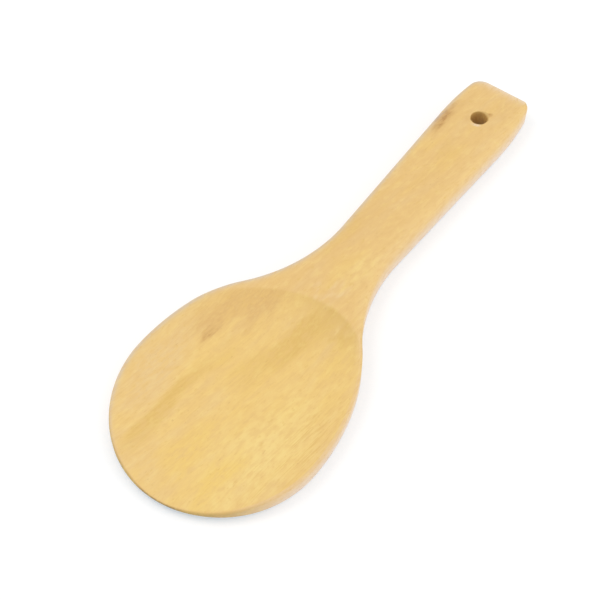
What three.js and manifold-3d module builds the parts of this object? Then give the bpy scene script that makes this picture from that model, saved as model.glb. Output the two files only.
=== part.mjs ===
// A plain serving spoon cut from one board of pale wood: a flat handle with a hanging hole, a waisted
// neck, and a broad round bowl with a shallow dish scooped into its upper face.
// Millimetres, +Z up, +Y from the bowl to the end of the handle, +X across.
// The origin lies under the middle of the spoon's length, on the surface that it rests on.
import * as THREE from 'three';
import { mergeVertices } from 'three/addons/utils/BufferGeometryUtils.js';
import Module from 'manifold-3d';

// Board
const totalLength = 225; // from the tip of the bowl to the end of the handle
const boardThickness = 10;
const arrisRadius = 1; // rounding of the long edges

// Outline of the bowl, seen from above
const bowlWidth = 79.9;
const tipLength = 41.6; // from the tip back to the widest place
const rightShoulderLength = 60.1; // half length of the ellipse behind the widest place, on the +X side
const leftShoulderLength = 57; // the same on the -X side, which is cut a little closer
const neckRadius = 66.5; // hollow curve that joins the bowl to the handle

// Outline of the handle
const neckWidth = 23.8; // between the handle's sides where the neck runs out
const neckFromTip = 125.6; // from the tip of the bowl to the place where neckWidth is taken
const handleEndWidth = 30.4; // between the handle's sides, carried on to the end
const endEaseLength = 26; // from the end back to where the sides begin to draw in
const endEaseRadius = 120; // bow of the drawn-in sides
const rightCornerRadius = 3; // corner of the end on the +X side
const leftCornerRadius = 5.7; // the other corner, sanded rounder

// Hanging hole
const holeDiameter = 7;
const holeFromEnd = 19.3; // from the end of the handle to the middle of the hole

// Scoop of the bowl, worked along the grain, which runs a little askew to the handle
const scoopTurn = THREE.MathUtils.degToRad(12); // the scoop's far end leans towards -X
const dishWidth = 86.6; // wider than the bowl, so that the dish runs out at its sides
const dishOffset = 1.5; // how far the dish's middle lies towards +X, which leaves that rim lower
const dishNeckReach = 54.2; // from the widest place to the dish's edge at the neck
const dishTipReach = 61; // the same towards the tip, where the dish runs out
const dishDepth = 5.2; // below the board's face, at the widest place
const dishFall = 0.8; // how much lower the floor lies at the tip
const dishPower = 5; // flat floor, with walls that steepen towards the edge

// Tip of the bowl, thinned from above and from below
const tipTurn = THREE.MathUtils.degToRad(-5.5); // the thinned stretch leans towards +X
const tipThickness = 1;
const tipLift = 2; // the tip's underside above the resting surface
const topTaperLength = 66; // from the tip back to the full height
const backTaperLength = 30; // from the tip back to the flat underside

// Fineness of the round stretches
const arcSteps = 16;
const arrisSteps = 3;
const taperSteps = 10;
const dishRings = 10;
const dishSectors = 64;
const holeSides = 32;
const cutMargin = 2; // how far a cutting shape reaches past the wood

// Places that follow from the driving dimensions
const tipY = -totalLength / 2;
const endY = totalLength / 2;
const widestY = tipY + tipLength;
const neckY = tipY + neckFromTip;
const bowlHalf = bowlWidth / 2;

const wasm = await Module();
wasm.setup();

function toSolid(geometry) {
  geometry.deleteAttribute('normal');
  geometry.deleteAttribute('uv');
  const merged = mergeVertices(geometry);
  return new wasm.Manifold(new wasm.Mesh({
    numProp: 3,
    vertProperties: new Float32Array(merged.attributes.position.array),
    triVerts: new Uint32Array(merged.index.array),
  }));
}

function toGeometry(solid) {
  const mesh = solid.getMesh();
  const geometry = new THREE.BufferGeometry();
  geometry.setAttribute('position', new THREE.BufferAttribute(mesh.vertProperties, mesh.numProp));
  geometry.setIndex(new THREE.BufferAttribute(mesh.triVerts, 1));
  geometry.computeVertexNormals();
  return geometry;
}

function ellipseArc(x, y, radiusX, radiusY, from, to) {
  return new THREE.EllipseCurve(x, y, radiusX, radiusY, from, to, from > to).getPoints(arcSteps);
}

// Side of the handle: a straight line that widens from the neck to the end.
const sideSlope = (handleEndWidth - neckWidth) / 2 / (endY - neckY);

function sideX(y) {
  return neckWidth / 2 + sideSlope * (y - neckY);
}

// Direction that points straight out of the shoulder ellipse, as an angle.
function shoulderNormal(shoulderLength, angle) {
  return Math.atan2(Math.sin(angle) / shoulderLength, Math.cos(angle) / bowlHalf);
}

// Middle of the neck's hollow curve when it touches the shoulder ellipse at the given angle.
function neckCentre(shoulderLength, angle) {
  const outward = shoulderNormal(shoulderLength, angle);
  return new THREE.Vector2(
    bowlHalf * Math.cos(angle) + neckRadius * Math.cos(outward),
    widestY + shoulderLength * Math.sin(angle) + neckRadius * Math.sin(outward),
  );
}

// Angle on the shoulder ellipse where the neck's curve touches both the ellipse and the handle's side.
function shoulderAngle(shoulderLength) {
  const halvings = 50;
  let low = 0;
  let high = Math.PI / 2;
  for (let halving = 0; halving < halvings; halving += 1) {
    const angle = (low + high) / 2;
    const centre = neckCentre(shoulderLength, angle);
    const fromSide = (centre.x - sideX(centre.y)) / Math.hypot(1, sideSlope);
    if (fromSide > neckRadius) low = angle;
    else high = angle;
  }
  return low;
}

// Bowl and neck of the outline, from the tip round +X to the side of the handle.
function bowlOutline(shoulderLength) {
  const angle = shoulderAngle(shoulderLength);
  const centre = neckCentre(shoulderLength, angle);
  const neckFrom = shoulderNormal(shoulderLength, angle) + Math.PI;
  const neckTo = Math.PI - Math.atan(sideSlope);
  const tip = ellipseArc(0, widestY, bowlHalf, tipLength, -Math.PI / 2, 0);
  const shoulder = ellipseArc(0, widestY, bowlHalf, shoulderLength, 0, angle);
  const neck = ellipseArc(centre.x, centre.y, neckRadius, neckRadius, neckFrom, neckTo);
  return [...tip, ...shoulder.slice(1), ...neck.slice(1)];
}

// End of the outline: the side bows inwards and runs smoothly into the corner's own arc.
function endOutline(cornerRadius) {
  const easeY = endY - endEaseLength;
  const easeFrom = -Math.atan(sideSlope);
  const easeX = sideX(easeY) - endEaseRadius * Math.cos(easeFrom);
  const easeCentreY = easeY - endEaseRadius * Math.sin(easeFrom);
  const inner = endEaseRadius - cornerRadius;
  const cornerY = endY - cornerRadius;
  const easeTo = Math.asin((cornerY - easeCentreY) / inner);
  const cornerX = easeX + inner * Math.cos(easeTo);
  const ease = ellipseArc(easeX, easeCentreY, endEaseRadius, endEaseRadius, easeFrom, easeTo);
  const corner = ellipseArc(cornerX, cornerY, cornerRadius, cornerRadius, easeTo, Math.PI / 2);
  return [...ease, ...corner.slice(1)];
}

// One side of the outline, from the tip to the end, drawn on the +X side.
function sideOutline(shoulderLength, cornerRadius) {
  return [...bowlOutline(shoulderLength), ...endOutline(cornerRadius)];
}

// The board sawn to the outline, with its long edges rounded.
function sawnBlank() {
  const right = sideOutline(rightShoulderLength, rightCornerRadius);
  const leftDrawn = sideOutline(leftShoulderLength, leftCornerRadius);
  const left = leftDrawn.slice(1).reverse().map((point) => new THREE.Vector2(-point.x, point.y));
  const geometry = new THREE.ExtrudeGeometry(new THREE.Shape([...right, ...left]), {
    depth: boardThickness - 2 * arrisRadius,
    bevelThickness: arrisRadius,
    bevelSize: arrisRadius,
    bevelOffset: -arrisRadius,
    bevelSegments: arrisSteps,
  });
  geometry.translate(0, 0, arrisRadius);
  return toSolid(geometry);
}

// Turns a shape that was made about its own axis and sets it at the widest place of the bowl.
function placeOnBowl(geometry, turn) {
  geometry.rotateZ(-turn);
  geometry.translate(0, widestY, 0);
  return toSolid(geometry);
}

// Edge of the side view: comes in from outside the wood, meets the flat face at the given height and
// leaves it by a parabola that has changed the height by `change` at the tip.
function taperEdge(length, height, change, outside) {
  const start = tipLength - length;
  const points = [new THREE.Vector2(start - length, height + outside)];
  for (let step = 0; step <= taperSteps; step += 1) {
    const along = (step / taperSteps) * (length + cutMargin);
    points.push(new THREE.Vector2(start + along, height + change * (along / length) ** 2));
  }
  return points;
}

// The wood that is left when the tip is thinned from above and from below.
function thinnedTip() {
  const topChange = tipLift + tipThickness - boardThickness;
  const top = taperEdge(topTaperLength, boardThickness, topChange, cutMargin);
  const back = taperEdge(backTaperLength, 0, tipLift, -cutMargin);
  const sideView = new THREE.Shape([
    new THREE.Vector2(-totalLength, -cutMargin),
    ...back,
    ...top.reverse(),
    new THREE.Vector2(-totalLength, boardThickness + cutMargin),
  ]);
  const geometry = new THREE.ExtrudeGeometry(sideView, { depth: 2 * bowlWidth, bevelEnabled: false });
  geometry.translate(0, 0, -bowlWidth);
  geometry.rotateX(Math.PI / 2);
  geometry.rotateZ(-Math.PI / 2);
  return placeOnBowl(geometry, tipTurn);
}

// The wood that is scooped out: a round form stretched over the bowl. At the share r of the way from
// the middle to the edge, its floor has risen by r to the power dishPower.
function scoopedWood() {
  const pitch = dishFall / tipLength;
  const rise = dishDepth - pitch * dishNeckReach;
  const mouth = ((dishDepth + cutMargin) / rise) ** (1 / dishPower);
  const profile = [];
  for (let ring = 0; ring <= dishRings; ring += 1) {
    const share = mouth * (ring / dishRings);
    profile.push(new THREE.Vector2(share, share ** dishPower));
  }
  profile.push(new THREE.Vector2(0, mouth ** dishPower));
  const geometry = new THREE.LatheGeometry(profile, dishSectors);
  geometry.rotateX(Math.PI / 2);
  const position = geometry.attributes.position;
  for (let index = 0; index < position.count; index += 1) {
    const y = position.getY(index) * (position.getY(index) > 0 ? dishNeckReach : dishTipReach);
    const z = boardThickness - dishDepth + rise * position.getZ(index) + pitch * y;
    position.setXYZ(index, position.getX(index) * (dishWidth / 2) + dishOffset, y, z);
  }
  return placeOnBowl(geometry, scoopTurn);
}

function hangingHole() {
  const radius = holeDiameter / 2;
  const geometry = new THREE.CylinderGeometry(radius, radius, boardThickness + 2 * cutMargin, holeSides);
  geometry.rotateX(Math.PI / 2);
  geometry.translate(0, endY - holeFromEnd, boardThickness / 2);
  return toSolid(geometry);
}

const paleWood = new THREE.MeshStandardMaterial({ color: '#efcb84', roughness: 0.6, metalness: 0 });

const spoonSolid = sawnBlank().intersect(thinnedTip()).subtract(scoopedWood()).subtract(hangingHole());
const spoon = new THREE.Mesh(toGeometry(spoonSolid), paleWood);
spoon.name = 'spoon';

const assembly = new THREE.Group();
assembly.add(spoon);

export default assembly;
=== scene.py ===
import bmesh
import bpy
import numpy as np
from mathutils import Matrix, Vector


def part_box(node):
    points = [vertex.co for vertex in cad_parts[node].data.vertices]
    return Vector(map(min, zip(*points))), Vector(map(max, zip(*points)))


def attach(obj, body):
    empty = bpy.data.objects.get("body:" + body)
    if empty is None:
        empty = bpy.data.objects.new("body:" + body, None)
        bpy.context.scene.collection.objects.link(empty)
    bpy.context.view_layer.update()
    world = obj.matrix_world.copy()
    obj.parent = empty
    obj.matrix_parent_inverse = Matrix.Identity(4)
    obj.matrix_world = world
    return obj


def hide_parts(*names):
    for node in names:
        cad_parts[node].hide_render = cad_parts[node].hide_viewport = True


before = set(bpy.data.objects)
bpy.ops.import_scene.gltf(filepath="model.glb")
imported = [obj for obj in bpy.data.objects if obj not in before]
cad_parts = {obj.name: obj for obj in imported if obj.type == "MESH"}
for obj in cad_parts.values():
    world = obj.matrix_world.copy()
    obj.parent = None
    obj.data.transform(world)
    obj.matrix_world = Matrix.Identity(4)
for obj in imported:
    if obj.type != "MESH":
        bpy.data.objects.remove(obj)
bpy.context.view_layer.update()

scene = bpy.context.scene
mm = 0.001  # the dictionaries below are in millimetres and degrees


# Unit vector towards someone who stands `turn` degrees round from the bowl's tip, `height` above the table.
def towards(turn, height):
    turn, height = np.radians((turn, height))
    flat = np.cos(height)
    return Vector((np.sin(turn) * flat, -np.cos(turn) * flat, np.sin(height)))


photoView = {
    "lookAt": (-8.18, -16.96, 0.0),
    "turn": 37.03,
    "height": 55.52,
    "distance": 454.26,
    "lens": 72.71,
}


# Puts a camera or a lamp `distance` away from the place looked at, and turns it to face that place.
def aimAtSpoon(name, data, turn, height, distance):
    back = towards(turn, height)
    holder = bpy.data.objects.new(name, data)
    holder.location = Vector(photoView["lookAt"]) * mm + back * distance * mm
    holder.rotation_euler = back.to_track_quat("Z", "Y").to_euler()
    scene.collection.objects.link(holder)
    return holder


def placeCamera():
    lens = bpy.data.cameras.new("photoCamera")
    lens.lens = photoView["lens"]
    view = (photoView["turn"], photoView["height"], photoView["distance"])
    scene.camera = aimAtSpoon("photoCamera", lens, *view)


placeCamera()
print("camera placed")

boxLow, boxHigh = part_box("spoon")
spoonForm = {
    "tipY": boxLow.y / mm,
    "endY": boxHigh.y / mm,
    "thickness": boxHigh.z / mm,
    "bowlHalf": boxHigh.x / mm,
    "tipLength": 41.6,  # tip to widest place
    "rightShoulder": 60.1,  # ellipse behind the widest place, on the +X side
    "leftShoulder": 57.0,
    "neckRadius": 66.5,
    "neckHalf": 11.9,
    "neckFromTip": 125.6,
    "endHalf": 15.2,
    "easeLength": 26.0,  # stretch before the end where the sides draw in
    "easeRadius": 120.0,
    "rightCorner": 3.0,
    "leftCorner": 5.7,
    "arris": 0.8,  # upper edge, crisp all round the bowl
    "softArris": 2.5,  # and sanded softer on the handle's +X side
    "softY": (-35.0, 15.0),  # where that begins on the way up the neck, and where it is full
    "softSide": (0.2, 1.0),  # the same for the sideways part of the outward direction
    "cornerArris": 1.5,  # most that the upper edge is rounded at the end
    "cornerGrowth": 0.3,  # and how much more for each millimetre before it
    "backArris": 0.9,
    "thinShare": 0.45,  # most of the local thickness that one rounding may take
}
form = spoonForm  # short name for the formulas
form["widestY"] = form["tipY"] + form["tipLength"]
form["neckY"] = form["tipY"] + form["neckFromTip"]
form["slope"] = (form["endHalf"] - form["neckHalf"]) / (form["endY"] - form["neckY"])
form["lean"] = np.arctan(form["slope"])

dishForm = {
    "turn": 12.0,  # the scoop runs along the grain, a little askew
    "half": 43.3,
    "offset": 1.5,  # the dish's middle lies a little towards +X
    "neckReach": 54.2,
    "tipReach": 61.0,
    "roundness": 1.9,  # of the dish's edge on the neck side, where 2 is an ellipse
    "depth": 5.2,
    "fall": 0.8,  # how much lower the floor lies at the tip
    "power": 5,  # flat floor, with walls that steepen towards the edge
    "edgeSoft": 0.15,  # rounded crease of the dish's edge, and below of the tip
    "tipTurn": -5.5,  # the thinned tip leans the other way
    "tipThickness": 1.0,
    "tipLift": 2.0,
    "topTaper": 66.0,
    "backTaper": 30.0,
    "tipSoft": 1.0,
}

holeForm = {
    "radius": 3.5,
    "fromEnd": 19.3,
    "ease": 0.15,  # broken edge of the drilled hole
    "ragged": 0.1,  # how far that edge waves
    "waves": ((0.6, 3, 1.0), (0.4, 7, 0.0)),  # share of each wave, times round, start in radians
    "tear": 0.9,  # splintered part of the upper edge: extra width, where and how far round
    "tearTurn": 60.0,
    "tearSpread": 38.0,
}
holeForm["y"] = form["endY"] - holeForm["fromEnd"]

# Worn and cut places, and painted light and shade. A pair says where an effect begins and where it is full.
# Side and Turn are parts of the outward direction, sideways and endwards. A Reach or a Drop is how fast an
# effect dies away.
wearAndShadingForm = {
    "sunnySide": (0.0, 0.4),  # the right edge, all but the tip, which gets painted light
    "sunnyTurn": (-0.75, -0.25),
    "tableLitHeight": (9.775, 1.275),  # painted light from the white table: that edge is painted paler towards it
    "tableLitPower": 1.4,
    "crestY": (-55.0, -25.0),  # and from the shoulder on, a painted highlight along its crest
    "crestReach": 2.0,
    "leftSide": (0.0, 5 / 7),  # the left edge, greyed by painted shade
    "leftTurn": (-1.0, -1 / 3),
    "leftShadeReach": 0.8,
    "leftShadeDrop": 1.2,  # how fast the grey dies away down the wall
    "wallLeftShade": 0.25,  # and how much of it stays there
    "endWear": 0.65,  # paler wood on the edge of the end
    "endPower": 4,
    "endReach": 1.5,
    "endGrainTurn": (0.4, 0.9),  # end grain at the tip and at the end, whose dark tint is also painted shade on the tip's wall
    "shadeThickness": (1.45, 1.15),  # painted shade: the tip's edge is darkened where it is thin, as a contact shadow
    "scoopDepth": (0.0, 0.5),  # wood that the scoop laid open
    "crossPower": 8,  # how late on the way to the neck the scoop cuts across the grain and the painted shade sets in
}

gridForm = {
    "columns": 760,
    "backRows": 24,
    "arrisRows": 7,
    "wallRows": 4,
    "topRows": 62,
    "easeRows": 5,
    "boreRows": 8,
    "arcSteps": 400,  # points on each arc of the outline, before the columns are shared out
    "fineSteps": 39,  # and steps between two of them
    "touchSteps": 20001,  # angles tried for the place where the neck touches the shoulder
    "poleBeforeWidest": 12.0,  # the rows of the tip half meet at this place on the middle line
    "neckCrowd": 1.3,  # closer columns where the dish's edge crosses the neck
    "neckCrowdY": -19.0,
    "neckCrowdSpread": 14.0,
    "endCrowd": 1.5,  # and round the corners of the end
    "endCrowdSpread": 8.0,
    "weld": 0.002,  # points closer than this are one
}


# Points on an ellipse: middle plus radius times cosine and sine of evenly spaced angles.
def ellipseArc(x, y, radiusX, radiusY, start, stop):
    angle = np.linspace(start, stop, gridForm["arcSteps"])
    return np.column_stack((x + radiusX * np.cos(angle), y + radiusY * np.sin(angle)))


# Bell curve: e to the minus square of the distance from the middle over the spread.
def bell(value, middle, spread):
    return np.exp(-(((value - middle) / spread) ** 2))


# Straight rise from 0 at `start` to 1 at `stop`.
def ramp(value, start, stop):
    return np.clip((value - start) / (stop - start), 0, 1)


# Side of the handle: a straight line that widens from the neck to the end.
def sideX(y):
    return form["neckHalf"] + form["slope"] * (y - form["neckY"])


# Bowl and neck, drawn from the tip round +X: two ellipse quarters, then a hollow arc that touches the second
# ellipse and the handle's side. Its middle lies one radius straight out of the ellipse and one from the side.
def bowlSide(shoulder):
    reach, neck = form["bowlHalf"], form["neckRadius"]
    angle = np.linspace(0, np.pi / 2, gridForm["touchSteps"])
    outward = np.arctan2(np.sin(angle) / shoulder, np.cos(angle) / reach)
    neckX = reach * np.cos(angle) + neck * np.cos(outward)
    neckMiddle = form["widestY"] + shoulder * np.sin(angle) + neck * np.sin(outward)
    missing = (neckX - sideX(neckMiddle)) * np.cos(form["lean"]) - neck
    touch = np.interp(0, missing[::-1], angle[::-1])
    touchOut = np.interp(touch, angle, outward)
    neckAt = [np.interp(touch, angle, values) for values in (neckX, neckMiddle)]
    return np.vstack((
        ellipseArc(0, form["widestY"], reach, form["tipLength"], -np.pi / 2, 0),
        ellipseArc(0, form["widestY"], reach, shoulder, 0, touch),
        ellipseArc(*neckAt, neck, neck, touchOut + np.pi, np.pi - form["lean"]),
    ))


# End of the handle up to its middle: a slow arc draws the side in, and a corner arc inside it closes the end.
def endSide(corner):
    ease, lean = form["easeRadius"], form["lean"]
    easeY = form["endY"] - form["easeLength"]
    easeX = sideX(easeY) - ease * np.cos(lean)
    easeMiddle = easeY + ease * np.sin(lean)
    cornerY = form["endY"] - corner
    easeTo = np.arcsin((cornerY - easeMiddle) / (ease - corner))
    cornerX = easeX + (ease - corner) * np.cos(easeTo)
    return np.vstack((
        ellipseArc(easeX, easeMiddle, ease, ease, -lean, easeTo),
        ellipseArc(cornerX, cornerY, corner, corner, easeTo, np.pi / 2),
        [(0, form["endY"])],
    ))


# Evenly shared columns on one side, where a step counts for more in the crowded stretches.
def sideColumns(side):
    dense = np.vstack((bowlSide(form[side + "Shoulder"]), endSide(form[side + "Corner"])))
    fine = np.linspace(0, 1, gridForm["fineSteps"], endpoint=False)[:, None, None]
    dense = (dense[:-1] + (dense[1:] - dense[:-1]) * fine).swapaxes(0, 1).reshape(-1, 2)
    middle = (dense[1:, 1] + dense[:-1, 1]) / 2
    crowd = 1 + gridForm["neckCrowd"] * bell(middle, gridForm["neckCrowdY"], gridForm["neckCrowdSpread"])
    crowd += gridForm["endCrowd"] * bell(middle, form["endY"], gridForm["endCrowdSpread"])
    reach = np.append(0, np.cumsum(np.hypot(*np.diff(dense, axis=0).T) * crowd))
    share = np.linspace(0, reach[-1], gridForm["columns"] // 2 + 1)
    columns = np.column_stack([np.interp(share, reach, axis) for axis in dense.T])
    columns[[0, -1], 0] = 0
    return columns


# Closed loop: up the right side, then the mirror image of the left side, walked back from the end to the tip.
def closedLoop(right, left):
    return np.vstack((right, left[-2:0:-1] * (-1, 1)))


# Place in axes that are turned about the widest place: along points to the neck, across to the right of it.
def turnedAxes(x, y, turn):
    turn = np.radians(turn)
    fromWidest = y - form["widestY"]
    along = x * np.sin(turn) + fromWidest * np.cos(turn)
    return along, x * np.cos(turn) - fromWidest * np.sin(turn)


# Lower of two heights, with a rounded crease of about the given depth.
def softLower(first, second, soft):
    share = np.clip(0.5 + (second - first) / (2 * soft), 0, 1)
    return second + (first - second) * share - soft * share * (1 - share)


# How far a place lies on the way through the thinned stretch: 0 before it, 1 at the tip.
def tipShare(x, y, length):
    along, _ = turnedAxes(x, y, dishForm["tipTurn"])
    return np.maximum(0, (length - form["tipLength"] - along) / length)


# Upper face: the board's face, or the dish where that is lower. The dish rises with the fifth power of the
# share of the way from its middle to its edge, and a parabola lowers the board's face towards the tip.
def topHeight(x, y):
    along, across = turnedAxes(x, y, dishForm["turn"])
    pitch = dishForm["fall"] / form["tipLength"]
    rise = dishForm["depth"] - pitch * dishForm["neckReach"]
    reach = np.where(along > 0, dishForm["neckReach"], dishForm["tipReach"])
    roundness = np.where(along > 0, dishForm["roundness"], 2)
    sideways = np.abs((across - dishForm["offset"]) / dishForm["half"])
    share = (sideways**roundness + np.abs(along / reach) ** roundness) ** (1 / roundness)
    floor = form["thickness"] - dishForm["depth"] + pitch * along
    dish = floor + rise * share ** dishForm["power"]
    taper = tipShare(x, y, dishForm["topTaper"])
    drop = form["thickness"] - dishForm["tipLift"] - dishForm["tipThickness"]
    soft = dishForm["edgeSoft"] + (dishForm["tipSoft"] - dishForm["edgeSoft"]) * np.minimum(1, 2 * taper)
    return softLower(form["thickness"] - drop * taper**2, dish, soft)


# Under face: flat, and lifted towards the tip by a parabola.
def backHeight(x, y):
    return dishForm["tipLift"] * tipShare(x, y, dishForm["backTaper"]) ** 2


# How far the scoop cuts across the grain, and where painted shade lies under the dish's edge at the neck: a
# high power of the share of the way up to the neck.
def crossCutAndShadeShare(x, y):
    along, _ = turnedAxes(x, y, dishForm["turn"])
    return (np.maximum(along, 0) / dishForm["neckReach"]) ** wearAndShadingForm["crossPower"]


# Width of the hole's broken edge: it waves on the way round, and is wider where the drill tore the wood.
def holeRim(angle, torn):
    wave = sum(share * np.sin(times * angle + start) for share, times, start in holeForm["waves"])
    tear = bell(np.degrees(angle), holeForm["tearTurn"], holeForm["tearSpread"])
    return holeForm["ease"] + torn * (holeForm["ragged"] * wave + holeForm["tear"] * tear)


# Angles of the columns that meet the hole, from straight down once round.
def holeAngles(sideCount, first):
    return np.linspace(-np.pi / 2, 3 * np.pi / 2, 2 * (sideCount - 1 - first) + 1)


# Inner border of both faces: the middle line, then round the hole from its near side to its far side.
def innerBorder(middleY, first, torn):
    line = np.maximum(middleY, form["widestY"] - gridForm["poleBeforeWidest"])
    line = np.column_stack((0 * line, line))
    border = closedLoop(line, line)
    angle = holeAngles(len(line), first)
    reach = holeForm["radius"] + holeRim(angle, torn)
    ring = np.column_stack((reach * np.cos(angle), holeForm["y"] + reach * np.sin(angle)))
    border[first:first + len(ring)] = ring
    return border


# Faces of a grid that is stored row by row. With `closed` the last column joins the first.
def gridFaces(rows, columns, closed, offset=0):
    across = np.arange(columns if closed else columns - 1)
    row = np.arange(rows - 1)[:, None] * columns + offset
    near, far = row + across, row + (across + 1) % columns
    return np.stack((near, far, far + columns, near + columns), axis=-1).reshape(-1, 4)


# Direction straight out of the outline: the way from one neighbour column to the other, turned right.
def outwardFrom(loop):
    along = np.roll(loop, -1, axis=0) - np.roll(loop, 1, axis=0)
    return np.column_stack((along[:, 1], -along[:, 0])) / np.hypot(*along.T)[:, None]


def localThickness(loop):
    return topHeight(*loop.T) - backHeight(*loop.T)


# Radius of the upper and of the under rounding in each column, with the softer stretch beside the handle.
def arrisRadii(loop, outward):
    most = form["thinShare"] * localThickness(loop)
    soft = ramp(outward[:, 0], *form["softSide"]) * ramp(loop[:, 1], *form["softY"])
    top = form["arris"] + (form["softArris"] - form["arris"]) * soft
    beforeEnd = form["cornerArris"] + form["cornerGrowth"] * (form["endY"] - loop[:, 1])
    return np.minimum(np.minimum(top, beforeEnd), most), np.minimum(form["backArris"], most)


def quarterTurn(rows):
    return np.linspace(0, np.pi / 2, rows)[:, None]


# Rows of a rounding: at angle t and radius r it lies r(1 - cos t) inside the outline and r(1 - sin t) from
# the face, below the upper face with sign 1 and above the under face with sign -1.
def roundedRows(loop, outward, radius, face, sign):
    angle = quarterTurn(gridForm["arrisRows"])
    inset = radius * (1 - np.cos(angle))
    x = loop[:, 0] - outward[:, 0] * inset
    y = loop[:, 1] - outward[:, 1] * inset
    return np.stack((x, y, face(x, y) - sign * radius * (1 - np.sin(angle))), axis=-1)


# Rows of a face: points a share of the way from the rounding to the inner border, at the face's height.
def faceRows(loop, outward, radius, face, border, share):
    rim = loop - outward * radius[:, None]
    flat = rim + (border - rim) * share[:, None, None]
    return np.concatenate((flat, face(flat[..., 0], flat[..., 1])[..., None]), axis=-1)


# How strong each kind of wear and of painted light and shade is, from 0 to 1, over the rows of the edge and
# over those of the upper face.
def wearAndShadingLayers(loop, outward, edge, top):
    side, endward = outward.T
    sunny = ramp(side, *wearAndShadingForm["sunnySide"]) * ramp(endward, *wearAndShadingForm["sunnyTurn"])
    leftward = ramp(-side, *wearAndShadingForm["leftSide"]) * ramp(endward, *wearAndShadingForm["leftTurn"])
    crestHighlight = sunny * ramp(loop[:, 1], *wearAndShadingForm["crestY"])
    atEnd = wearAndShadingForm["endWear"] * np.clip(endward, 0, 1) ** wearAndShadingForm["endPower"]
    quarter = quarterTurn(gridForm["arrisRows"])
    steep = np.vstack((np.ones((len(edge) - len(quarter), 1)), np.cos(quarter)))
    low = ramp(edge[..., 2], *wearAndShadingForm["tableLitHeight"]) ** wearAndShadingForm["tableLitPower"]
    below = np.exp((edge[..., 2] - edge[-1, :, 2]) / wearAndShadingForm["leftShadeDrop"])
    fromEdge = np.hypot(*(top[..., :2] - edge[-1, :, :2]).transpose(2, 0, 1))
    # end grain on the steep walls that face the ends, also painted shade on the wall of the tip
    endGrainAndShade = steep * ramp(np.abs(endward), *wearAndShadingForm["endGrainTurn"])
    # painted contact shade on the thin edge of the tip
    thinTipShade = steep * ramp(localThickness(loop), *wearAndShadingForm["shadeThickness"])
    scooped = ramp(form["thickness"] - top[..., 2], *wearAndShadingForm["scoopDepth"])
    noEdge, noTop = np.zeros(edge.shape[:2]), np.zeros(top.shape[:2])
    return {
        # painted light, paler towards the table, on the right wall, and real wear on the edge of the end
        "litSideAndWornEnd": (
            np.maximum(sunny * low, atEnd * (1 - endGrainAndShade)),
            atEnd * np.exp(-fromEdge / wearAndShadingForm["endReach"]),
        ),
        # painted highlight along the crest of the right edge
        "crestHighlight": (crestHighlight + noEdge, crestHighlight * np.exp(-fromEdge / wearAndShadingForm["crestReach"])),
        "scooped": (noEdge, scooped),
        # wood cut across the grain, darkened also as painted shade under the dish's edge at the neck
        "crossCutAndShade": (noEdge, scooped * crossCutAndShadeShare(top[..., 0], top[..., 1])),
        # end grain, darkened also as painted shade on the wall of the tip
        "endGrainAndShade": (endGrainAndShade, noTop),
        # painted shade on the thin edge of the tip
        "thinTipShade": (thinTipShade, noTop),
        # painted shade greying the left edge and, more weakly, its wall
        "leftEdgeShade": (
            leftward * np.maximum(wearAndShadingForm["wallLeftShade"], below),
            leftward * np.exp(-fromEdge / wearAndShadingForm["leftShadeReach"]),
        ),
    }


# Whole skin as rows over columns: under face from the inside out, rounded edge, wall, rounded edge, upper
# face from the outside in. The wear and the painted light and shade come with it, row for row.
def spoonSkin(loop, middleY, first):
    outward = outwardFrom(loop)
    topArris, backArris = arrisRadii(loop, outward)
    topEdge = roundedRows(loop, outward, topArris, topHeight, 1)
    backEdge = roundedRows(loop, outward, backArris, backHeight, -1)[::-1]
    rise = np.linspace(0, 1, gridForm["wallRows"] + 2)[1:-1, None, None]
    wall = backEdge[-1] + (topEdge[0] - backEdge[-1]) * rise
    edge = np.concatenate((backEdge, wall, topEdge))
    topShare = np.linspace(0, 1, gridForm["topRows"] + 1)[1:]
    backShare = np.linspace(1, 0, gridForm["backRows"] + 1)[:-1]
    top = faceRows(loop, outward, topArris, topHeight, innerBorder(middleY, first, 1), topShare)
    back = faceRows(loop, outward, backArris, backHeight, innerBorder(middleY, first, 0), backShare)
    noBack = np.zeros(back.shape[:2])
    wearAndShading = wearAndShadingLayers(loop, outward, edge, top)
    layers = {name: np.concatenate((noBack, *rows)) for name, rows in wearAndShading.items()}
    return np.concatenate((back, edge, top)), layers


# Inside of the hole: a quarter-round broken edge, a straight wall and a second quarter-round.
def holeSkin(sideCount, first):
    angle = holeAngles(sideCount, first)
    quarter = quarterTurn(gridForm["easeRows"])
    topEase, backEase = holeRim(angle, 1), holeRim(angle, 0)
    topZ = form["thickness"] - topEase * (1 - np.cos(quarter))
    backZ = backEase * (1 - np.cos(quarter[::-1]))
    wallShare = np.linspace(0, 1, gridForm["boreRows"] + 2)[1:-1, None]
    wallZ = topZ[-1] + (backZ[0] - topZ[-1]) * wallShare
    height = np.concatenate((topZ, wallZ, backZ))
    widening = (topEase * (1 - np.sin(quarter)), 0 * wallZ, backEase * (1 - np.sin(quarter[::-1])))
    reach = holeForm["radius"] + np.concatenate(widening)
    return np.stack((reach * np.cos(angle), holeForm["y"] + reach * np.sin(angle), height), axis=-1)


# Joins the points that lie together, turns the faces outwards and counts the edges that stay open.
def closeSeams(mesh):
    body = bmesh.new()
    body.from_mesh(mesh)
    bmesh.ops.remove_doubles(body, verts=body.verts, dist=gridForm["weld"] * mm)
    bmesh.ops.recalc_face_normals(body, faces=body.faces)
    openEdges = sum(not edge.is_manifold for edge in body.edges)
    body.to_mesh(mesh)
    body.free()
    return openEdges


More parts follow.
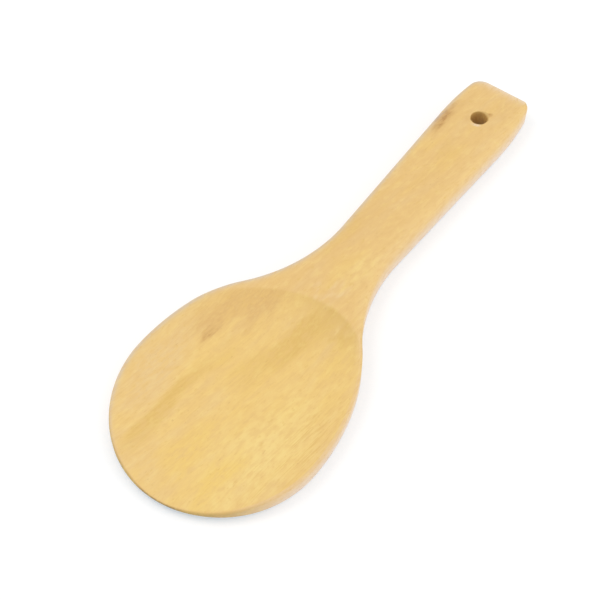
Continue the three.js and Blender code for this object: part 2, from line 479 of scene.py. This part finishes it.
def makeSpoon():
    right, left = sideColumns("right"), sideColumns("left")
    middleY = (right[:, 1] + left[:, 1]) / 2
    nearSide = holeForm["y"] - holeForm["radius"] - holeForm["ease"]
    first = int(np.argmax(middleY > nearSide))
    skin, layers = spoonSkin(closedLoop(right, left), middleY, first)
    hole = holeSkin(len(middleY), first)
    layers["bored"] = np.zeros(skin.shape[:2])
    points = np.concatenate((skin.reshape(-1, 3), hole.reshape(-1, 3))) * mm
    faces = np.concatenate((
        gridFaces(*skin.shape[:2], True),
        gridFaces(*hole.shape[:2], False, skin.shape[0] * skin.shape[1]),
    ))
    mesh = bpy.data.meshes.new("spoonBody")
    mesh.from_pydata(points.tolist(), [], faces.tolist())
    for name, values in layers.items():
        inHole = np.full(hole.shape[:2], float(name == "bored"))
        layer = mesh.attributes.new(name, "FLOAT", "POINT")
        layer.data.foreach_set("value", np.concatenate((values.ravel(), inHole.ravel())))
    openEdges = closeSeams(mesh)
    mesh.shade_smooth()
    spoon = bpy.data.objects.new("spoonBody", mesh)
    scene.collection.objects.link(spoon)
    print("spoon made,", len(mesh.polygons), "faces, open edges", openEdges)
    return spoon


woodLook = {
    "grainTurn": 7.5,  # clockwise from the handle
    "straw": (232, 193, 124),  # untouched face of the board
    "butter": (237, 200, 122),  # fresher wood that the scoop laid open
    "honey": (224, 182, 108),
    "lemon": (246, 219, 140),
    "gold": (238, 200, 106),
    "rose": (229, 194, 137),
    "olive": (223, 183, 99),
    "umber": (221, 179, 111),
    "vein": (179, 127, 61),
    "pore": (192, 144, 82),
    # pale colour of wear, also used as painted light on the right wall and painted highlight on chips by the
    # hole
    "paleWornAndLit": (239, 222, 207),
    # colour of the painted highlight on the right crest
    "crestHighlight": (244, 210, 145),
    # colour of the cross-cut wood, also painted shade under the dish's edge at the neck
    "crossCutAndShade": (209, 171, 89),
    # dark end grain, also painted shade on the wall of the tip
    "endGrainAndShade": (181, 152, 84),
    # brown of the painted shade on the tip's thin edge
    "tipShadeBrown": (126, 92, 56),
    # grey of the painted shade on the left edge
    "leftShadeGrey": (203, 197, 190),
    "bore": (210, 172, 103),
    "streakLevels": (0.3, 0.7),  # levels of the streak noise that give the two roughnesses
    "roughness": (0.42, 0.58),
    "poreRelief": (0.3, 0.2, 0.0, 0.3),  # levels of the pore noise, and how deep a pore is at each
    "bump": 0.15,
    "bumpDepth": 0.2,
}

# Noises that run along the grain: width and length of one cell, fineness, and a shift that sets them apart.
grainNoises = {
    "broad": (8.0, 30.0, 2.0, 7.3),
    "streak": (3.6, 26.0, 3.0, 1.7),
    "mottle": (2.0, 4.0, 2.0, 2.4),
    "fibre": (0.5, 8.0, 2.0, 5.9),
    "hair": (0.45, 22.0, 1.0, 4.6),
    "speck": (1.0, 2.2, 1.0, 6.2),
    "pore": (0.34, 2.6, 1.0, 9.4),
}
noiseRoughness = 0.55
swayForm = {"noise": (45, 120, 1.0, 3.1), "reach": 14}  # how the grain itself wanders sideways
driftForm = {"cell": (5, 22, 5), "detail": 2.0, "reach": (9, 30, 0)}  # and how the stains' borders do

# What the noises tint, under the stains and over them: from which level to which, how much at most, and
# with which colour.
broadTints = (
    ("broad", 0.5, 0.3, 0.45, "rose"),
    ("broad", 0.5, 0.7, 0.35, "gold"),
    ("streak", 0.6, 0.3, 0.22, "honey"),
)
fineTints = (
    ("mottle", 0.5, 0.3, 0.26, "umber"),
    ("mottle", 0.5, 0.7, 0.22, "lemon"),
    ("fibre", 0.55, 0.3, 0.28, "honey"),
    ("speck", 0.36, 0.26, 0.4, "olive"),
    ("pore", 0.3, 0.2, 0.4, "pore"),
)

# Streaks and stains of this board: middle, half width and half length, turn, strength and colour.
dishMarks = (
    {"at": (-16.8, -86), "half": (4.4, 34), "turn": 0, "strength": 0.95, "colour": "olive"},
    {"at": (-18.3, -72), "half": (2.6, 10), "turn": -4, "strength": 0.7, "colour": "olive"},
    {"at": (-14.5, -58), "half": (5.5, 15), "turn": -10, "strength": 0.35, "colour": "olive"},
    {"at": (-1.0, -53), "half": (7.0, 18), "turn": -12, "strength": 0.55, "colour": "olive"},
    {"at": (5.0, -34), "half": (8.0, 21), "turn": -10, "strength": 0.95, "colour": "olive"},
    {"at": (8.0, -24), "half": (5.5, 9.0), "turn": -10, "strength": 0.6, "colour": "olive"},
    {"at": (1.5, -92), "half": (7.5, 17), "turn": -6, "strength": 0.55, "colour": "gold"},
    {"at": (19.0, -26.0), "half": (4.5, 12), "turn": 53, "strength": 0.9, "colour": "olive"},
    {"at": (22.0, -34), "half": (10, 15), "turn": 15, "strength": 0.3, "colour": "gold"},
    {"at": (21.0, -79), "half": (19, 39), "turn": -8, "strength": 0.5, "colour": "lemon"},
    {"at": (14.5, -93), "half": (8.0, 17), "turn": -6, "strength": 0.7, "colour": "gold"},
    {"at": (-29.0, -76), "half": (11, 36), "turn": 5, "strength": 0.7, "colour": "rose"},
    {"at": (-8.0, -104), "half": (16, 13), "turn": 0, "strength": 0.35, "colour": "rose"},
    {"at": (-25.0, -44), "half": (7.0, 18), "turn": -14, "strength": 0.95, "colour": "umber"},
    {"at": (-15.5, -31), "half": (9.5, 13), "turn": -30, "strength": 0.9, "colour": "umber"},
    {"at": (-23.5, -48), "half": (2.6, 8.0), "turn": -10, "strength": 0.45, "colour": "vein"},
)
boardMarks = (
    {"at": (5.5, 0.0), "half": (7.5, 15), "turn": 0, "strength": 0.35, "colour": "lemon"},
    {"at": (3.0, -12.5), "half": (9.0, 4.5), "turn": 15, "strength": 0.12, "colour": "paleWornAndLit"},
    {"at": (6.0, 104), "half": (9.0, 11), "turn": 0, "strength": 0.2, "colour": "umber"},
    {"at": (-7.0, 22), "half": (7.0, 32), "turn": 0, "strength": 0.3, "colour": "umber"},
    {"at": (-9.5, 14), "half": (4.0, 18), "turn": 0, "strength": 0.3, "colour": "olive"},
    {"at": (0.0, 55), "half": (4.0, 14), "turn": -4, "strength": 0.25, "colour": "umber"},
    {"at": (0.0, 72), "half": (5.0, 8.0), "turn": 0, "strength": 0.35, "colour": "olive"},
    {"at": (-11.0, 86), "half": (4.5, 20), "turn": -4, "strength": 0.65, "colour": "umber"},
    {"at": (-12.2, 86), "half": (3.0, 14), "turn": -5, "strength": 1.0, "colour": "vein"},
)
# Chips and splinters round the hole, with painted shade and painted highlight, whose borders don't wander.
holeMarks = (
    {"at": (2.6, 97.0), "half": (1.5, 2.0), "turn": -40, "strength": 0.9, "colour": "vein"},
    # painted shade: a faint ring on the left of the hole
    {"at": (-3.6, 90.4), "half": (2.2, 2.6), "turn": 10, "strength": 0.6, "colour": "umber"},
    # pale chips on the near edge, partly painted highlight where the rim catches light
    {"at": (1.0, 89.2), "half": (2.8, 1.2), "turn": 15, "strength": 0.5, "colour": "paleWornAndLit"},
)
# How the noises break the stains up: levels of the noise, and how strong the stains are at each.
brokenBy = {"mottle": (0.35, 0.65, 0.6, 1.3), "fibre": (0.35, 0.65, 1.2, 0.75)}
# Fine dark hairs beside the right wall of the dish: where, and levels of their noise.
hairLines = {"at": (32, -70), "half": (11, 42), "turn": -8, "levels": (0.47, 0.36), "strength": 0.6}
# Layers of the mesh that tint the wood, wear and painted light and shade among them: how much, and with which
# colour.
woodLayers = (
    # end grain, and painted shade on the tip's wall
    ("endGrainAndShade", 0.95, "endGrainAndShade"),
    # cross-cut wood, and painted shade under the dish's edge
    ("crossCutAndShade", 0.7, "crossCutAndShade"),
    # painted highlight on the right crest
    ("crestHighlight", 0.36, "crestHighlight"),
    # painted light on the right wall, and wear at the end
    ("litSideAndWornEnd", 0.95, "paleWornAndLit"),
    # painted shade on the left edge
    ("leftEdgeShade", 0.55, "leftShadeGrey"),
    # painted shade on the tip's thin edge
    ("thinTipShade", 0.6, "tipShadeBrown"),
    ("bored", 1.0, "bore"),
)


# Colour picked from a screen, 0 to 255, as the linear colour that the shader wants: its share of 255 plus
# 0.055, over 1.055, to the power 2.4.
def tint(red, green, blue):
    share = np.array((red, green, blue)) / 255
    return (*((share + 0.055) / 1.055) ** 2.4, 1.0)


# Adds a node; each input takes a number, a colour or another node's output.
def put(tree, kind, settings, inputs):
    made = tree.nodes.new(kind)
    for name, value in settings.items():
        setattr(made, name, value)
    for name, value in inputs.items():
        if isinstance(value, bpy.types.NodeSocket):
            tree.links.new(value, made.inputs[name])
        else:
            made.inputs[name].default_value = value
    return made


def mixTint(tree, share, under, over):
    settings = {"data_type": "RGBA", "blend_type": "MIX", "clamp_factor": True}
    return put(tree, "ShaderNodeMix", settings, {0: share, 6: under, 7: over}).outputs[2]


def sums(tree, way, first, second):
    return put(tree, "ShaderNodeMath", {"operation": way}, {0: first, 1: second}).outputs[0]


# Sum, product or the like of vectors; the third is what MULTIPLY_ADD adds.
def vectorSums(tree, way, *vectors):
    return put(tree, "ShaderNodeVectorMath", {"operation": way}, dict(enumerate(vectors))).outputs[0]


# Smooth step from one level of a value to another.
def fade(tree, value, start, stop, low=0.0, high=1.0):
    inputs = {"Value": value, "From Min": start, "From Max": stop, "To Min": low, "To Max": high}
    return put(tree, "ShaderNodeMapRange", {"interpolation_type": "SMOOTHSTEP"}, inputs).outputs[0]


# Noise stretched along the grain: one cell is `across` wide and deep and `along` long.
def fibreNoise(tree, place, across, along, detail, shift):
    size = (1 / (across * mm), 1 / (along * mm), 1 / (across * mm))
    cell = vectorSums(tree, "MULTIPLY_ADD", place, size, (shift, 2 * shift, 3 * shift))
    inputs = {"Vector": cell, "Scale": 1.0, "Detail": detail, "Roughness": noiseRoughness}
    return put(tree, "ShaderNodeTexNoise", {}, inputs).outputs["Fac"]


# Oval patch seen from above: 1 in its inner fifth and 0 at its border, turned anticlockwise.
def ovalPatch(tree, place, at, half, turn):
    inputs = {
        "Vector": place,
        "Location": (at[0] * mm, at[1] * mm, 0),
        "Rotation": (0, 0, np.radians(turn)),
        "Scale": (half[0] * mm, half[1] * mm, 1),
    }
    local = put(tree, "ShaderNodeMapping", {"vector_type": "TEXTURE"}, inputs).outputs[0]
    reach = put(tree, "ShaderNodeVectorMath", {"operation": "LENGTH"}, {0: local}).outputs["Value"]
    return fade(tree, reach, 1.0, 0.2)


# Axes of the grain: turned a little against the handle, and swaying on the way along it.
def grainAxes(tree, place):
    turned = {"Vector": place, "Rotation": (0, 0, np.radians(woodLook["grainTurn"]))}
    grain = put(tree, "ShaderNodeMapping", {}, turned).outputs[0]
    wander = fibreNoise(tree, grain, *swayForm["noise"])
    sway = sums(tree, "MULTIPLY", sums(tree, "SUBTRACT", wander, 0.5), swayForm["reach"] * mm)
    sideways = put(tree, "ShaderNodeCombineXYZ", {}, {"X": sway}).outputs[0]
    return vectorSums(tree, "ADD", grain, sideways)


# Place that is moved about by a coloured noise, so that whatever is drawn there gets uneven borders.
def driftedPlace(tree, place):
    cell = vectorSums(tree, "MULTIPLY", place, [1 / (side * mm) for side in driftForm["cell"]])
    inputs = {"Vector": cell, "Scale": 1.0, "Detail": driftForm["detail"]}
    stir = put(tree, "ShaderNodeTexNoise", {}, inputs).outputs["Color"]
    stir = vectorSums(tree, "SUBTRACT", stir, (0.5, 0.5, 0.5))
    return vectorSums(tree, "MULTIPLY_ADD", stir, [side * mm for side in driftForm["reach"]], place)


def tinted(tree, colour, share, name):
    return mixTint(tree, share, colour, tint(*woodLook[name]))


def noiseTints(tree, colour, noises, tints):
    for name, start, stop, most, shade in tints:
        colour = tinted(tree, colour, fade(tree, noises[name], start, stop, 0, most), shade)
    return colour


def stained(tree, colour, marks, place, texture):
    for mark in marks:
        patch = ovalPatch(tree, place, mark["at"], mark["half"], mark["turn"])
        share = sums(tree, "MULTIPLY", sums(tree, "MULTIPLY", patch, texture), mark["strength"])
        colour = tinted(tree, colour, share, mark["colour"])
    return colour


def haired(tree, colour, place, noises):
    hair = fade(tree, noises["hair"], *hairLines["levels"], 0, hairLines["strength"])
    zone = ovalPatch(tree, place, hairLines["at"], hairLines["half"], hairLines["turn"])
    return tinted(tree, colour, sums(tree, "MULTIPLY", hair, zone), "olive")


def meshLayer(tree, name):
    return put(tree, "ShaderNodeAttribute", {"attribute_name": name}, {}).outputs["Fac"]


# Colour of the wood: board or opened wood, broad bands, stains, edges and hole with their wear and painted
# light and shade, then fine fibres and pores.
def woodColour(tree, place, noises):
    opened = meshLayer(tree, "scooped")
    colour = mixTint(tree, opened, tint(*woodLook["straw"]), tint(*woodLook["butter"]))
    colour = noiseTints(tree, colour, noises, broadTints)
    drifted = driftedPlace(tree, place)
    blotchy = fade(tree, noises["mottle"], *brokenBy["mottle"])
    broken = sums(tree, "MULTIPLY", blotchy, fade(tree, noises["fibre"], *brokenBy["fibre"]))
    colour = stained(tree, colour, dishMarks, drifted, sums(tree, "MULTIPLY", broken, opened))
    colour = stained(tree, colour, boardMarks, drifted, broken)
    colour = stained(tree, colour, holeMarks, place, blotchy)
    colour = haired(tree, colour, place, noises)
    for layer, share, shade in woodLayers:
        colour = tinted(tree, colour, sums(tree, "MULTIPLY", meshLayer(tree, layer), share), shade)
    return noiseTints(tree, colour, noises, fineTints)


def paleWood():
    material = bpy.data.materials.new("paleWood")
    material.use_nodes = True
    tree = material.node_tree
    shader = tree.nodes["Principled BSDF"]
    place = tree.nodes.new("ShaderNodeTexCoord").outputs["Object"]
    grain = grainAxes(tree, place)
    noises = {name: fibreNoise(tree, grain, *shape) for name, shape in grainNoises.items()}
    tree.links.new(woodColour(tree, place, noises), shader.inputs["Base Color"])
    rough = fade(tree, noises["streak"], *woodLook["streakLevels"], *woodLook["roughness"])
    tree.links.new(rough, shader.inputs["Roughness"])
    relief = sums(tree, "SUBTRACT", noises["fibre"], fade(tree, noises["pore"], *woodLook["poreRelief"]))
    inputs = {"Strength": woodLook["bump"], "Distance": woodLook["bumpDepth"] * mm, "Height": relief}
    tree.links.new(put(tree, "ShaderNodeBump", {}, inputs).outputs[0], shader.inputs["Normal"])
    print("wood ready,", len(tree.nodes), "nodes")
    return material


spoon = makeSpoon()
spoon.data.materials.append(paleWood())
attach(spoon, "root")
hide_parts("spoon")

studio = {
    "sky": 0.80,
    "tableColour": (0.93, 0.93, 0.93),
    "tableSeen": (0.88, 0.73, 0.62),  # for the camera: the part of the table's white that takes shadow
    "tableGlow": (0.18, 0.33, 0.44),  # and the part that doesn't; each colour adds up to the same
    "tableHalf": 3000.0,
    "tableDrop": 0.1,
}
lamps = {
    "windowLamp": {"turn": -72, "height": 57, "distance": 1070, "size": 600, "power": 2.32},
    "backLamp": {"turn": 165, "height": 50, "distance": 1070, "size": 600, "power": 0.4},
    "sideLamp": {"turn": 112, "height": 18, "distance": 1800, "size": 1000, "power": 5.2},
}


# 1 for rays that should see a white studio: straight from the camera, or off gloss and through glass.
def seenRay(tree):
    path = tree.nodes.new("ShaderNodeLightPath").outputs
    mirror = sums(tree, "MAXIMUM", path["Is Glossy Ray"], path["Is Transmission Ray"])
    return sums(tree, "MAXIMUM", path["Is Camera Ray"], mirror)


# Ends a tree with two shaders: the first for light that falls on things, the second for rays that see.
def endTree(tree, kind, light, seen):
    both = put(tree, "ShaderNodeMixShader", {}, {0: seenRay(tree), 1: light.outputs[0], 2: seen.outputs[0]})
    put(tree, kind, {}, {"Surface": both.outputs[0]})


def lightStudio():
    world = bpy.data.worlds.new("softSky")
    scene.world = world
    world.use_nodes = True
    tree = world.node_tree
    tree.nodes.clear()
    white = (1, 1, 1, 1)
    light = put(tree, "ShaderNodeBackground", {}, {"Color": white, "Strength": studio["sky"]})
    seen = put(tree, "ShaderNodeBackground", {}, {"Color": white, "Strength": 1.0})
    endTree(tree, "ShaderNodeOutputWorld", light, seen)
    for name, lamp in lamps.items():
        data = bpy.data.lights.new(name, "AREA")
        data.size = lamp["size"] * mm
        data.energy = lamp["power"]
        aimAtSpoon(name, data, lamp["turn"], lamp["height"], lamp["distance"])
    print("studio lit")


# Matt white, and for the camera a brighter white that keeps the shadow.
def whitePaint():
    material = bpy.data.materials.new("whitePaint")
    material.use_nodes = True
    tree = material.node_tree
    tree.nodes.clear()
    paint = put(tree, "ShaderNodeBsdfDiffuse", {}, {"Color": (*studio["tableColour"], 1)})
    shade = put(tree, "ShaderNodeBsdfDiffuse", {}, {"Color": (*studio["tableSeen"], 1)})
    glow = put(tree, "ShaderNodeEmission", {}, {"Color": (*studio["tableGlow"], 1)})
    seen = put(tree, "ShaderNodeAddShader", {}, {0: shade.outputs[0], 1: glow.outputs[0]})
    endTree(tree, "ShaderNodeOutputMaterial", paint, seen)
    return material


# Table top: a flat grid of two by two squares, a hair below the spoon.
def layTable():
    side = np.linspace(-studio["tableHalf"], studio["tableHalf"], 3) * mm
    x, y = np.meshgrid(side, side)
    points = np.stack((x, y, 0 * x - studio["tableDrop"] * mm), axis=-1).reshape(-1, 3)
    mesh = bpy.data.meshes.new("whiteTable")
    mesh.from_pydata(points.tolist(), [], gridFaces(3, 3, False).tolist())
    mesh.materials.append(whitePaint())
    table = bpy.data.objects.new("whiteTable", mesh)
    scene.collection.objects.link(table)
    print("table laid")


lightStudio()
layTable()
scene.view_settings.view_transform = "Standard"
